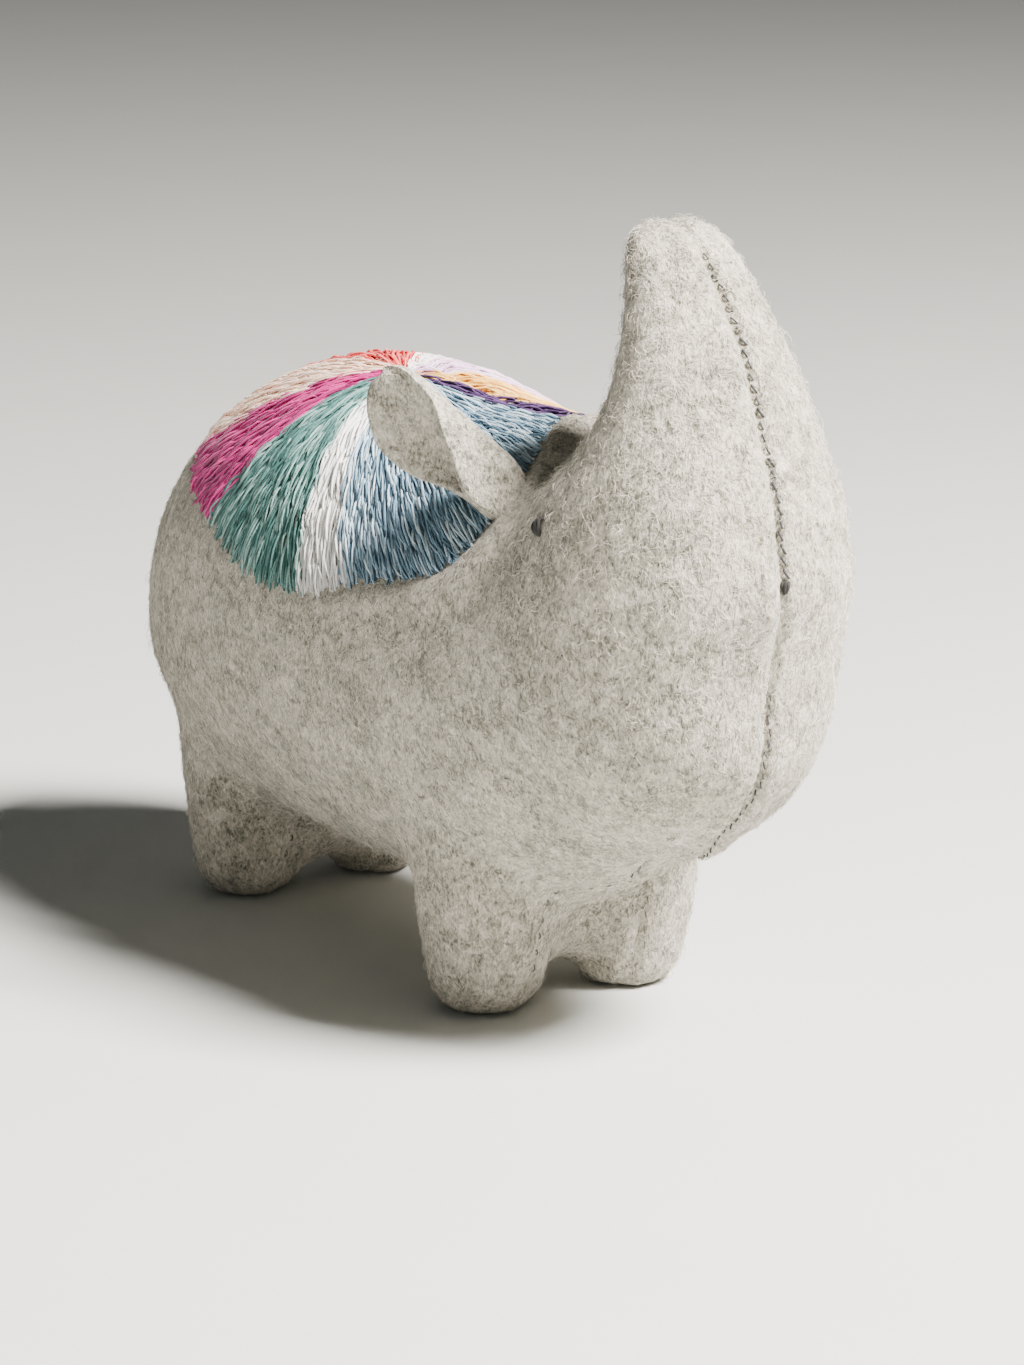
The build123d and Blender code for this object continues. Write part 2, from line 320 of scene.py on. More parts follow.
OATMEAL = ((0.76, 0.690, 0.590), (0.430, 0.397, 0.322), (0.115, 0.110, 0.084))
FELT_FINISH = felt_finish("brushed_felt", *OATMEAL)
FIBRE_FINISH = fibre_finish("wool_fibre", (0.84, 0.77, 0.665), (0.26, 0.243, 0.19))
CHARCOAL = ((0.014, 0.016, 0.017), (0.040, 0.042, 0.044), (0.10, 0.10, 0.10))
BLACK = ((0.004, 0.004, 0.003), (0.012, 0.011, 0.010), (0.04, 0.037, 0.034))
TONAL = ((0.05, 0.047, 0.036), (0.10, 0.094, 0.075), (0.2, 0.19, 0.15))
SEAM_FINISH = thread_finish("seam_thread", *CHARCOAL, 0.8)
EYE_FINISH = thread_finish("eye_thread", *BLACK, 0.85)
# dark, middle and light tone of each thread; the layer below uses the dark end, as painted shade
# between the stitches
THREAD_COLOURS = {
    "denim": ((0.018, 0.062, 0.105), (0.200, 0.325, 0.425), (0.68, 0.80, 0.88)),
    "white": ((0.46, 0.44, 0.42), (0.78, 0.76, 0.74), (0.95, 0.93, 0.92)),
    "teal": ((0.008, 0.040, 0.038), (0.055, 0.170, 0.155), (0.34, 0.52, 0.49)),
    "magenta": ((0.11, 0.001, 0.050), (0.42, 0.002, 0.150), (0.80, 0.035, 0.32)),
    "cream": ((0.68, 0.38, 0.27), (0.94, 0.66, 0.50), (0.98, 0.86, 0.75)),
    "coral": ((0.40, 0.035, 0.040), (0.82, 0.085, 0.085), (0.95, 0.23, 0.21)),
    "ivory": ((0.55, 0.50, 0.50), (0.82, 0.77, 0.76), (0.95, 0.92, 0.91)),
    "lilac": ((0.32, 0.16, 0.30), (0.62, 0.40, 0.60), (0.86, 0.66, 0.82)),
    "gold": ((0.46, 0.20, 0.035), (0.80, 0.42, 0.085), (0.95, 0.66, 0.25)),
    "plum": ((0.016, 0.005, 0.030), (0.055, 0.022, 0.090), (0.15, 0.075, 0.21)),
}


# ------------------------------------------------------------------ threads as tubes
def link(tree, start, end):
    tree.links.new(start, end)


def thread_tree():
    """Geometry nodes that sweep a round section along every line of a mesh of edges."""
    tree = bpy.data.node_groups.new("thread", "GeometryNodeTree")
    face = tree.interface
    face.new_socket("Lines", in_out="INPUT", socket_type="NodeSocketGeometry")
    sides = face.new_socket("Sides", in_out="INPUT", socket_type="NodeSocketInt")
    sides.default_value = 6
    face.new_socket("Finish", in_out="INPUT", socket_type="NodeSocketMaterial")
    face.new_socket("Threads", in_out="OUTPUT", socket_type="NodeSocketGeometry")
    source = tree.nodes.new("NodeGroupInput")
    curves = tree.nodes.new("GeometryNodeMeshToCurve")
    section = tree.nodes.new("GeometryNodeCurvePrimitiveCircle")
    section.inputs["Radius"].default_value = 1.0
    thickness = tree.nodes.new("GeometryNodeInputNamedAttribute")
    thickness.data_type = "FLOAT"
    thickness.inputs["Name"].default_value = "thickness"
    radius = tree.nodes.new("GeometryNodeSetCurveRadius")
    sweep = tree.nodes.new("GeometryNodeCurveToMesh")
    sweep.inputs["Fill Caps"].default_value = True
    shade = tree.nodes.new("GeometryNodeSetShadeSmooth")
    whole = tree.nodes.new("GeometryNodeRealizeInstances")
    finish = tree.nodes.new("GeometryNodeSetMaterial")
    sink = tree.nodes.new("NodeGroupOutput")
    link(tree, source.outputs["Lines"], curves.inputs[0])
    link(tree, source.outputs["Sides"], section.inputs["Resolution"])
    link(tree, curves.outputs[0], radius.inputs["Curve"])
    link(tree, thickness.outputs["Attribute"], radius.inputs["Radius"])
    link(tree, radius.outputs[0], sweep.inputs["Curve"])
    link(tree, section.outputs[0], sweep.inputs["Profile Curve"])
    if "Scale" in sweep.inputs:
        link(tree, thickness.outputs["Attribute"], sweep.inputs["Scale"])
    link(tree, sweep.outputs[0], shade.inputs[0])
    link(tree, shade.outputs[0], whole.inputs[0])
    link(tree, whole.outputs[0], finish.inputs["Geometry"])
    link(tree, source.outputs["Finish"], finish.inputs["Material"])
    link(tree, finish.outputs[0], sink.inputs[0])
    return tree


THREAD_TREE = thread_tree()


def set_input(modifier, name, value):
    """Set a geometry nodes input by its name in the tree."""
    for item in modifier.node_group.interface.items_tree:
        if item.name == name and item.in_out == "INPUT":
            modifier[item.identifier] = value


def tubes(name, lines, finish, sides=6):
    """One object of round threads: each line is (points, thickness, tint)."""
    points = np.concatenate([line[0] for line in lines])
    thick = np.concatenate([np.broadcast_to(line[1], len(line[0])) for line in lines])
    tint = np.concatenate([np.full(len(line[0]), line[2]) for line in lines])
    edges = []
    start = 0
    for line in lines:
        count = len(line[0])
        edges += [(start + i, start + i + 1) for i in range(count - 1)]
        start += count
    mesh = bpy.data.meshes.new(name)
    mesh.from_pydata([tuple(p) for p in points], edges, [])
    for key, values in (("thickness", thick), ("tint", tint)):
        attribute = mesh.attributes.new(key, "FLOAT", "POINT")
        attribute.data.foreach_set("value", np.asarray(values, np.float32))
    thing = new_object(name, mesh)
    modifier = thing.modifiers.new("thread", "NODES")
    modifier.node_group = THREAD_TREE
    set_input(modifier, "Sides", sides)
    set_input(modifier, "Finish", finish)
    return settle(thing)


# ------------------------------------------------------------------ where the motif lies
THREAD_NAMES = tuple(THREAD_COLOURS)
MOTIF_X = -12.2 * mm             # the point that the stitches fan out from
MOTIF_Y = -5 * mm
WRAP = BACK_TOP - SPINE_Z        # radius of the back about the spine line
MOTIF_TURN = math.atan2(MOTIF_Y, WRAP)


def unwrap(points):
    """Body points as (angle, distance) round the motif's centre, as if laid flat."""
    turn = np.arctan2(points[:, 1], points[:, 2] - SPINE_Z)
    along = points[:, 0] - MOTIF_X
    across = (turn - MOTIF_TURN) * WRAP
    return np.arctan2(across, along), np.hypot(along, across)


def motif_outline():
    """The motif's reach in each direction, and the directions that each colour fills."""
    laid = {name: unwrap(coords(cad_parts[f"threads_{name}"].data)) for name in THREAD_NAMES}
    angles = np.concatenate([a for a, _ in laid.values()])
    reaches = np.concatenate([r for _, r in laid.values()])
    bins = np.linspace(-math.pi, math.pi, 73)
    middles = (bins[1:] + bins[:-1]) / 2
    reach = [reaches[(angles >= a) & (angles < b)].max() for a, b in zip(bins, bins[1:])]
    spans = {}
    for name, (angle, distance) in laid.items():
        rim = angle[distance > 0.9 * np.interp(angle, middles, reach, period=2 * math.pi)]
        centre = math.atan2(np.sin(rim).mean(), np.cos(rim).mean())
        offset = (rim - centre + math.pi) % (2 * math.pi) - math.pi
        spans[name] = (centre + offset.min(), centre + offset.max())
    return middles, np.array(reach), spans


MOTIF_ANGLES, MOTIF_REACH, MOTIF_SPANS = motif_outline()


def motif_reach(angle):
    return np.interp(angle, MOTIF_ANGLES, MOTIF_REACH, period=2 * math.pi)


def motif_distance(points):
    """How far outside the motif's edge points are, and how much they face the head."""
    angle, distance = unwrap(points)
    away = distance - motif_reach(angle)
    low = points[:, 2] < 0.5 * BACK_TOP
    forward = np.clip(np.cos(angle) * 1.6 - 0.35, 0, 1)
    return np.where(low, 50 * mm, away), forward


# ------------------------------------------------------------------ the stuffed body
WEBS = (                         # felt between a pair of legs: place along the body, half length
    (FRONT_X - 4.5 * mm, 9.5 * mm),
    (HIND_X + 2 * mm, 9 * mm),
)
WEB_HALF_WIDTH = 9 * mm
WEB_HALF_HEIGHT = 10 * mm
WEB_Z = 15.5 * mm


def joined_body():
    """One watertight skin round the CAD panels and stuffing, as a grid of even faces."""
    body = bmesh.new()
    for name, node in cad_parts.items():
        if name.startswith(("side_panel", "belly", "stuffing")):
            body.from_mesh(node.data)
    for x, half in WEBS:
        size = Matrix.Diagonal((half, WEB_HALF_WIDTH, WEB_HALF_HEIGHT, 1))
        place = Matrix.Translation((x, 0, WEB_Z)) @ size
        bmesh.ops.create_icosphere(body, subdivisions=4, radius=1, matrix=place)
    mesh = bpy.data.meshes.new("body")
    body.to_mesh(mesh)
    body.free()
    thing = new_object("body", mesh)
    remesh = thing.modifiers.new("remesh", "REMESH")
    remesh.mode = "VOXEL"
    remesh.voxel_size = VOXEL
    settle(thing)
    return biggest_part(thing)


def biggest_part(thing):
    """Keep only the outermost of an object's separate surfaces."""
    mesh = bmesh.new()
    mesh.from_mesh(thing.data)
    seen = set()
    groups = []
    for start in mesh.verts:
        if start in seen:
            continue
        group = [start]
        seen.add(start)
        for vert in group:
            for edge in vert.link_edges:
                other = edge.other_vert(vert)
                if other not in seen:
                    seen.add(other)
                    group.append(other)
        groups.append(group)
    groups.sort(key=len)
    for group in groups[:-1]:
        bmesh.ops.delete(mesh, geom=group, context="VERTS")
    bmesh.ops.recalc_face_normals(mesh, faces=mesh.faces)
    mesh.to_mesh(thing.data)
    mesh.free()
    return thing


def neighbour_mean(mesh):
    """A function that averages each vertex's neighbours."""
    edges = np.empty(len(mesh.edges) * 2, np.int32)
    mesh.edges.foreach_get("vertices", edges)
    edges = edges.reshape(-1, 2)
    count = len(mesh.vertices)
    valence = np.bincount(edges.ravel(), minlength=count).astype(float)

    def mean(values):
        out = np.zeros_like(values)
        for axis in range(values.shape[1]):
            out[:, axis] = np.bincount(edges[:, 0], values[edges[:, 1], axis], count)
            out[:, axis] += np.bincount(edges[:, 1], values[edges[:, 0], axis], count)
        return out / valence[:, None]

    return mean


def relax(thing, rounds, strength, fill_only=False):
    """Smooth a mesh by the given strength for each vertex, or only fill its hollows."""
    mean = neighbour_mean(thing.data)
    points = coords(thing.data)
    for _ in range(rounds):
        step = (mean(points) - points) * strength[:, None]
        if fill_only:
            outward = normals(thing.data)
            rise = (step * outward).sum(1)[:, None]
            step -= outward * np.minimum(rise, 0)
        points += step
        set_coords(thing.data, points)


def bell(distance, width):
    return np.exp(-((distance / width) ** 2))


def blend_joints(thing):
    """Fill the creases where the legs join the belly, and the neck joins the shoulders."""
    points = coords(thing.data)
    strength = np.full(len(points), 0.0)
    for leg in LEGS:
        across = np.hypot(points[:, 0] - leg.x, points[:, 1] - leg.y)
        strength += bell(across - 11 * mm, 9 * mm) * bell(points[:, 2] - 20 * mm, 10 * mm)
    under = bell(points[:, 2] - 13 * mm, 9 * mm) * (points[:, 0] < FRONT_X + 4 * mm)
    strength += 0.9 * under * (points[:, 0] > HIND_X - 4 * mm)
    recess = bell(points[:, 0] - FRONT_X - 3 * mm, 6 * mm) * bell(points[:, 1], 7 * mm)
    strength *= 1 - 0.8 * recess * (points[:, 2] < 21 * mm)
    chin = points[:, 0] > FRONT_X + 9 * mm
    strength *= np.where(chin & (np.abs(points[:, 1]) < 24 * mm), 0.06, 1)
    cheek = np.abs(points[:, 0] - FRONT_X - 10 * mm)
    strength += 0.6 * bell(cheek, 14 * mm) * bell(points[:, 2] - 48 * mm, 24 * mm)
    relax(thing, 90, 0.5 * np.clip(strength, 0, 1), fill_only=True)
    relax(thing, 5, np.full(len(points), 0.45))


CHEST_RISE = 6.0 * mm
FOOT_TOP = 20 * mm               # height at which the feet begin to narrow
FOOT_NARROWING = 0.26            # share of its width that a foot loses at the floor


def shape_body(thing):
    """Raise the chest under the chin, and narrow the feet towards the floor."""
    points = coords(thing.data)
    chest = bell(points[:, 0] - FRONT_X - 32.5 * mm, 7.5 * mm) * bell(points[:, 1], 13 * mm)
    points[:, 2] += CHEST_RISE * chest * np.clip((45 * mm - points[:, 2]) / (14 * mm), 0, 1)
    for leg in LEGS:
        away = points[:, :2] - np.array((leg.x, leg.y))
        near = np.hypot(*away.T) < 14 * mm
        away -= np.array((-5 * mm if leg.x < 0 else -2.5 * mm, math.copysign(2 * mm, leg.y)))
        low = np.clip(1 - points[:, 2] / FOOT_TOP, 0, 1)
        points[:, :2] -= away * (FOOT_NARROWING * near * low ** 1.3)[:, None]
    set_coords(thing.data, points)


GUSSET_OUTLINE = [               # half width of the belly gusset from the chest to the rump
    (FRONT_X + 18 * mm, 0.0),
    (FRONT_X + 11 * mm, 9 * mm),
    (FRONT_X - 11 * mm, 9 * mm),
    ((FRONT_X + HIND_X) / 2, 12 * mm),
    (HIND_X + 11 * mm, 9 * mm),
    (HIND_X - 11 * mm, 9 * mm),
    (HIND_X - 21.5 * mm, 0.0),
]
GUSSET_TOP = 36 * mm
NO_SEAM = 1.0                    # a distance in metres that stands for no seam near


def gusset_half(x):
    """Half width of the belly gusset at x, and less than nothing beyond its ends."""
    outline = sorted(GUSSET_OUTLINE)
    xs, ys = zip(*outline)
    return np.interp(x, xs, ys, left=-1.0, right=-1.0)


def cut_seams(thing):
    """Cut the skin along the middle and along both edges of the gusset."""
    mesh = bmesh.new()
    mesh.from_mesh(thing.data)

    def cut(where, normal, choose):
        faces = [f for f in mesh.faces if choose(f.calc_center_median())]
        parts = set(faces)
        for face in faces:
            parts.update(face.edges)
            parts.update(face.verts)
        bmesh.ops.bisect_plane(mesh, geom=list(parts), dist=1e-7, plane_co=where, plane_no=normal)

    cut((0, 0, 0), (0, 1, 0), lambda c: abs(c.y) < 3 * mm)
    for (x0, y0), (x1, y1) in zip(GUSSET_OUTLINE, GUSSET_OUTLINE[1:]):
        for side in (-1, 1):
            start = Vector((x0, side * y0, 0))
            along = Vector((x1 - x0, side * (y1 - y0), 0))
            across = Vector((-along.y, along.x, 0)).normalized()

            def near(c):
                beside = (c.x - start.x) * across.x + (c.y - start.y) * across.y
                return (
                    x1 - mm < c.x < x0 + mm
                    and c.z < GUSSET_TOP
                    and c.y * side > -0.5 * mm
                    and abs(beside) < 3 * mm
                )

            cut(start, across, near)
    bmesh.ops.triangulate(mesh, faces=[f for f in mesh.faces if len(f.verts) > 4])
    mesh.to_mesh(thing.data)
    mesh.free()


def seam_distance(points):
    """How far each point is from the nearest seam between two panels."""
    x, y, z = points.T
    under = (z < GUSSET_TOP) & (gusset_half(x) >= 0)
    centre_line = np.where(under & (np.abs(y) < gusset_half(x) + 2 * mm), NO_SEAM, np.abs(y))
    edge = np.full(len(points), NO_SEAM)
    outline = np.array(GUSSET_OUTLINE)
    for (x0, y0), (x1, y1) in zip(outline, outline[1:]):
        along = np.array([x1 - x0, y1 - y0])
        t = ((x - x0) * along[0] + (np.abs(y) - y0) * along[1]) / (along @ along)
        t = np.clip(t, 0, 1)
        edge = np.minimum(edge, np.hypot(x - x0 - t * along[0], np.abs(y) - y0 - t * along[1]))
    edge = np.where(z < GUSSET_TOP, edge, NO_SEAM)
    return np.minimum(centre_line, edge)


SEAM_NODES = ("face_seam", "chin_seam", "nape_seam", "rump_seam",
              "gusset_seam_right", "gusset_seam_left")
STITCHES = {name: islands(name) for name in SEAM_NODES}


def pull_seams(thing):
    """Draw the seams into the stuffing, with a dimple under each dark stitch."""
    points = coords(thing.data)
    outward = normals(thing.data)
    away = seam_distance(points)
    sink = 0.75 * mm * bell(away, 0.9 * mm) - 0.22 * mm * bell(away - 2.4 * mm, 1.3 * mm)
    gusset = (points[:, 2] < GUSSET_TOP) & (points[:, 0] < FRONT_X + 24 * mm)
    sink *= np.where(gusset, 0.5, 1)
    dimpled = [spots for name, spots in STITCHES.items() if "gusset" not in name]
    every = [centre for spots in dimpled for centre, _ in spots]
    tree = KDTree(len(every))
    for i, spot in enumerate(every):
        tree.insert(spot, i)
    tree.balance()
    close = np.where(away < 3 * mm)[0]
    for i in close:
        gap = tree.find(points[i])[2]
        sink[i] += 0.30 * mm * math.exp(-((gap / (0.75 * mm)) ** 2))
        sink[i] -= 0.10 * mm * math.exp(-((gap / (2.2 * mm)) ** 2))
    set_coords(thing.data, points - outward * sink[:, None])
    relax(thing, 3, 0.4 * gusset * bell(away, 1.5 * mm))


def ease_folds(thing):
    """Smooth the few faces that a seam has folded over."""
    mean = neighbour_mean(thing.data)
    for _ in range(8):
        mesh = bmesh.new()
        mesh.from_mesh(thing.data)
        strength = np.zeros((len(mesh.verts), 1))
        for edge in mesh.edges:
            one, other = edge.link_faces
            if one.normal.dot(other.normal) < 0.35:
                for vert in edge.verts:
                    strength[vert.index] = 1
        mesh.free()
        for _ in range(3):
            strength = np.maximum(strength, np.minimum(1, 3 * mean(strength)))
        relax(thing, 5, 0.5 * strength[:, 0])


def hand_made(thing):
    """Uneven stuffing, a full rump and chin, and a collar of felt that swells before the motif."""
    points = coords(thing.data)
    outward = normals(thing.data)
    broad = smooth_noise(points, 17 * mm, 3)
    small = smooth_noise(points, 6.5 * mm, 5)
    off_floor = np.clip(points[:, 2] / (6 * mm), 0, 1)
    push = (0.45 * mm * broad + 0.16 * mm * small) * off_floor
    rump = bell(points[:, 0] - BODY_LOW.x - 5 * mm, 22 * mm) * bell(points[:, 2] - 34 * mm, 24 * mm)
    push += 1.1 * mm * rump
    push += 1.3 * mm * bell(points[:, 0] + 25 * mm, 20 * mm) * np.clip(outward[:, 2], 0, 1)
    chin = np.hypot(points[:, 0] - FRONT_X - 38 * mm, points[:, 2] - 31 * mm)
    push += 1.9 * mm * bell(chin, 8 * mm)
    away, forward = motif_distance(points)
    push += 1.35 * mm * forward * bell(away - 3.4 * mm, 2.9 * mm)
    push -= 0.75 * mm * np.clip(0.5 - away / (1.6 * mm), 0, 1) * (0.35 + 0.65 * forward)
    set_coords(thing.data, points + outward * push[:, None])


def split_panels(thing):
    """The three felt panels of the body, each its own mesh."""
    mesh = thing.data
    panels = {}
    for name in ("side_panel_right", "side_panel_left", "belly_gusset"):
        piece = bmesh.new()
        piece.from_mesh(mesh)
        wrong = []
        for face in piece.faces:
            c = face.calc_center_median()
            under = c.z < GUSSET_TOP and abs(c.y) < float(gusset_half(c.x))
            home = "belly_gusset" if under else "side_panel_left" if c.y > 0 else "side_panel_right"
            if home != name:
                wrong.append(face)
        bmesh.ops.delete(piece, geom=wrong, context="FACES")
        data = bpy.data.meshes.new(name)
        piece.to_mesh(data)
        piece.free()
        panels[name] = new_object(f"felt_{name}", data)
    return panels


def refine_seams(thing):
    """Smaller faces beside the seams, so that they hold a sewn groove."""
    mesh = bmesh.new()
    mesh.from_mesh(thing.data)
    for width in (4.2 * mm, 2.0 * mm):
        points = np.array([v.co for v in mesh.verts])
        mesh.verts.index_update()
        near = seam_distance(points) < width
        faces = [f for f in mesh.faces if any(near[v.index] for v in f.verts)]
        bmesh.ops.triangulate(mesh, faces=faces)
        edges = [e for e in mesh.edges if near[e.verts[0].index] and near[e.verts[1].index]]
        bmesh.ops.subdivide_edges(mesh, edges=edges, cuts=1, use_grid_fill=True)
    bmesh.ops.triangulate(mesh, faces=[f for f in mesh.faces if len(f.verts) > 4])
    mesh.to_mesh(thing.data)
    mesh.free()


CLOTH_VOXEL = 2.6 * mm
SEAM_HOLD = 2.6 * mm             # how far from a seam the felt is still held
CLOTH_MASS = 0.004
CLOTH_STIFFNESS = 18
CLOTH_PRESSURE = 300
CLOTH_STEPS = 16
CLOTH_CAP = 0.8 * mm             # the furthest that a point may move


def stuff_tight(thing):
    """Press the felt out between its seams, as a cloth under pressure."""
    cloth = new_object("cloth", thing.data.copy())
    remesh = cloth.modifiers.new("remesh", "REMESH")
    remesh.mode = "VOXEL"
    remesh.voxel_size = CLOTH_VOXEL
    settle(cloth)
    rest = coords(cloth.data)
    held = np.clip(bell(seam_distance(rest), SEAM_HOLD) + (rest[:, 2] < 2.5 * mm), 0, 1)
    pins = cloth.vertex_groups.new(name="pins")
    for i, weight in enumerate(held):
        pins.add([i], float(weight), "REPLACE")
    sheet = cloth.modifiers.new("cloth", "CLOTH")
    sheet.settings.quality = 6
    sheet.settings.mass = CLOTH_MASS
    sheet.settings.tension_stiffness = CLOTH_STIFFNESS
    sheet.settings.compression_stiffness = CLOTH_STIFFNESS
    sheet.settings.bending_stiffness = 0.4
    sheet.settings.use_pressure = True
    sheet.settings.uniform_pressure_force = CLOTH_PRESSURE
    sheet.settings.vertex_group_mass = "pins"
    sheet.settings.effector_weights.gravity = 0
    for step in range(1, CLOTH_STEPS + 1):
        bpy.context.scene.frame_set(step)
    move = coords(baked(cloth)) - rest
    far = np.linalg.norm(move, axis=1)[:, None]
    move = move / np.maximum(far, 1e-9) * CLOTH_CAP * np.tanh(far / CLOTH_CAP)
    tree = KDTree(len(rest))
    for i, point in enumerate(rest):
        tree.insert(point, i)
    tree.balance()
    points = coords(thing.data)
    for i, point in enumerate(points):
        near = tree.find_n(point, 4)
        weights = np.array([1 / (gap + 0.3 * mm) for _, _, gap in near])
        points[i] += weights @ move[[index for _, index, _ in near]] / weights.sum()
    set_coords(thing.data, points)
    bpy.context.scene.frame_set(1)
    bpy.data.objects.remove(cloth)


def make_body():
    body = joined_body()
    shape_body(body)
    blend_joints(body)
    stuff_tight(body)
    hand_made(body)
    cut_seams(body)
    refine_seams(body)
    pull_seams(body)
    ease_folds(body)
    return body


body_skin = make_body()
skin_points = coords(body_skin.data)
skin_tree = BVHTree.FromObject(body_skin, bpy.context.evaluated_depsgraph_get())


def on_skin(point):
    """The nearest point of the body's surface, and its normal there."""
    spot, normal, _, _ = skin_tree.find_nearest(Vector(point))
    return np.array(spot), np.array(normal)


panels = split_panels(body_skin)
for name, piece in panels.items():
    wall = piece.modifiers.new("sheet", "SOLIDIFY")
    wall.thickness = FELT * 0.8
    wall.offset = -1
    wall.use_even_offset = False
    settle(piece)
    for polygon in piece.data.polygons:
        polygon.use_smooth = True
    piece.data.materials.clear()
    piece.data.materials.append(FELT_FINISH)
    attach(piece, "root")
    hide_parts(name)
skin_mesh = body_skin.data
bpy.data.objects.remove(body_skin)


# ------------------------------------------------------------------ embroidered motif
def wrap(flat):
    """The body's surface at places given as (along, round the back), and the normals there."""
    spots = []
    outward = []
    for along, round_back in flat:
        turn = round_back / WRAP + MOTIF_TURN
        start = Vector((MOTIF_X + along, 0, SPINE_Z))
        ray = Vector((0, math.sin(turn), math.cos(turn)))
        spot, normal, _, _ = skin_tree.ray_cast(start + ray * 100 * mm, -ray)
        spots.append(spot)
        outward.append(normal)
    return np.array(spots), np.array(outward)


def fan(colour, spacing, luck, under):
    """One layer of stitches that fill a colour's share of the motif."""
    start, stop = MOTIF_SPANS[colour]
    rim = float(motif_reach((start + stop) / 2))
    count = max(6, int((stop - start) * rim / spacing))
    lines = []
    for i in range(count):
        share = (i + 0.5) / count
        rank = int(f"{i % 64:06b}"[::-1], 2) / 64
        angle = start + (stop - start) * share + luck.uniform(-0.35, 0.35) / count
        tuft = start + (stop - start) * (math.floor(share * count / 6) * 6 + 3) / count
        edge = float(motif_reach(angle))
        far = edge + luck.uniform(-1.3, 0.3) * mm + 0.7 * mm * math.sin(tuft * 71)
        far -= 1.1 * mm * abs(angle - tuft) / (3.5 * (stop - start) / count)
        cursor = edge * (0.02 + 0.82 * rank)
        while cursor < far - 2 * mm:
            end = cursor + (luck.uniform(12, 20) if under else luck.uniform(4.5, 10.5)) * mm
            if end > far - 3 * mm:
                end = far
            lines.append(strand(angle, tuft, cursor, end, luck, under, end == far))
            cursor = end - luck.uniform(0.3, 1.3) * mm
            if end == far:
                break
    return lines


def strand(angle, tuft, near, far, luck, under, last):
    """One stitch between two distances from the motif's centre; the last ones end in tufts."""
    steps = max(4, int((far - near) / (2.0 * mm)) + 2)
    t = np.linspace(0, 1, steps)
    distance = near + (far - near) * t
    aside = luck.uniform(-0.9, 0.9) * mm * (t - 0.5)
    aside += luck.uniform(-0.35, 0.35) * mm * np.sin(t * math.pi * luck.uniform(1, 2.2))
    turn = np.full(steps, angle)
    if last:
        turn += (tuft - angle) * 0.45 * np.clip((distance - far + 5 * mm) / (5 * mm), 0, 1) ** 2
    flat = np.stack([
        distance * np.cos(turn) - aside * np.sin(turn),
        distance * np.sin(turn) + aside * np.cos(turn),
    ], 1)
    spots, outward = wrap(flat)
    top = 0.05 * mm if under else luck.uniform(0.25, 0.85) * mm
    lift = top * np.sin(np.pi * t) ** 0.6 - 0.12 * mm
    if last and not under:
        lift[-1] = luck.uniform(-0.1, 0.4) * mm
        lift[-2] = max(lift[-2], 0.3 * mm)
    taper = 0.6 + 0.4 * np.sin(np.pi * np.clip(t, 0.05, 0.95)) ** 0.4
    thick = luck.uniform(0.14, 0.23) * mm * taper * (1.7 if under else 1)
    # the layer below takes only the dark end of the tints: painted shade in the gaps between the
    # stitches on top
    tint = luck.uniform(0.1, 0.4) if under else luck.uniform(0.1, 1)
    return spots + outward * lift[:, None], thick, tint


UNDER_SPACING = 0.60 * mm        # from strand to strand in the layer below, tinted dark as painted shade
TOP_SPACING = 0.27 * mm          # and in the layer on top


def embroider():
    """Long overlapping stitches that fan out from the motif's centre, over a layer tinted dark as
    painted shade between them.
    """
    luck = random.Random(SEED)
    for colour in THREAD_NAMES:
        lines = fan(colour, UNDER_SPACING, luck, True) + fan(colour, TOP_SPACING, luck, False)
        finish = thread_finish(f"{colour}_thread", *THREAD_COLOURS[colour])
        thread = tubes(f"embroidery_{colour}", lines, finish, 4)
        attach(thread, "root")
        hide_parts(f"threads_{colour}")


embroider()


# ------------------------------------------------------------------ seam stitches
def stitch(place, along, luck, length, thick, lean, rise):
    """A short stitch that comes out of the felt, lies over it and goes back in."""
    spot, normal = on_skin(place)
    spot = spot + normal * rise
    along = unit(along - normal * (along @ normal))
    across = np.cross(normal, along)
    spot = spot + across * luck.uniform(-0.18, 0.18) * mm
    along = along + across * (lean + luck.uniform(-0.25, 0.25))
    t = np.linspace(-1, 1, 7)
    half = length * luck.uniform(0.42, 0.56)
    arch = (0.16 * mm + thick) * (1 - t ** 2) - 0.3 * mm * t ** 4
    points = spot + np.outer(t * half, along) + np.outer(arch, normal)
    return points, thick * luck.uniform(0.85, 1.15), luck.random()


def sew(node, finish, length, thin, thick, lean, rise=0.0):
    """A seam's row of stitches, which get thicker from the top of the toy to the mouth."""
    luck = random.Random(len(node) + SEED)
    lines = []
    for place, along in islands(node):
        along = np.array(along) * (1 if along[2] + 0.3 * along[0] > 0 else -1)
        down = np.clip((BODY_HIGH.z - place[2]) / (BODY_HIGH.z - 0.8 * BACK_TOP), 0, 1)
        weight = thin + (thick - thin) * down
        lines.append(stitch(np.array(place), along, luck, length, weight, lean, rise))
    thread = tubes(f"sewn_{node}", lines, finish, 6)
    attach(thread, "root")
    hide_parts(node)


TONAL_FINISH = thread_finish("tonal_thread", *TONAL, 0.8)
sew("face_seam", SEAM_FINISH, 1.55 * mm, 0.11 * mm, 0.20 * mm, 0.35)
sew("chin_seam", SEAM_FINISH, 1.3 * mm, 0.12 * mm, 0.13 * mm, 0.25)
sew("nape_seam", SEAM_FINISH, 1.5 * mm, 0.13 * mm, 0.16 * mm, 0.3)
sew("rump_seam", SEAM_FINISH, 1.5 * mm, 0.14 * mm, 0.14 * mm, 0.3)
for side in ("right", "left"):
    sew(f"gusset_seam_{side}", TONAL_FINISH, 1.4 * mm, 0.11 * mm, 0.11 * mm, 0.2)
    sew(f"ear_stitches_{side}", TONAL_FINISH, 1.6 * mm, 0.14 * mm, 0.14 * mm, 0.0)
sew("tail_stitches", SEAM_FINISH, 2.6 * mm, 0.17 * mm, 0.17 * mm, 0.0, 1.7 * mm)


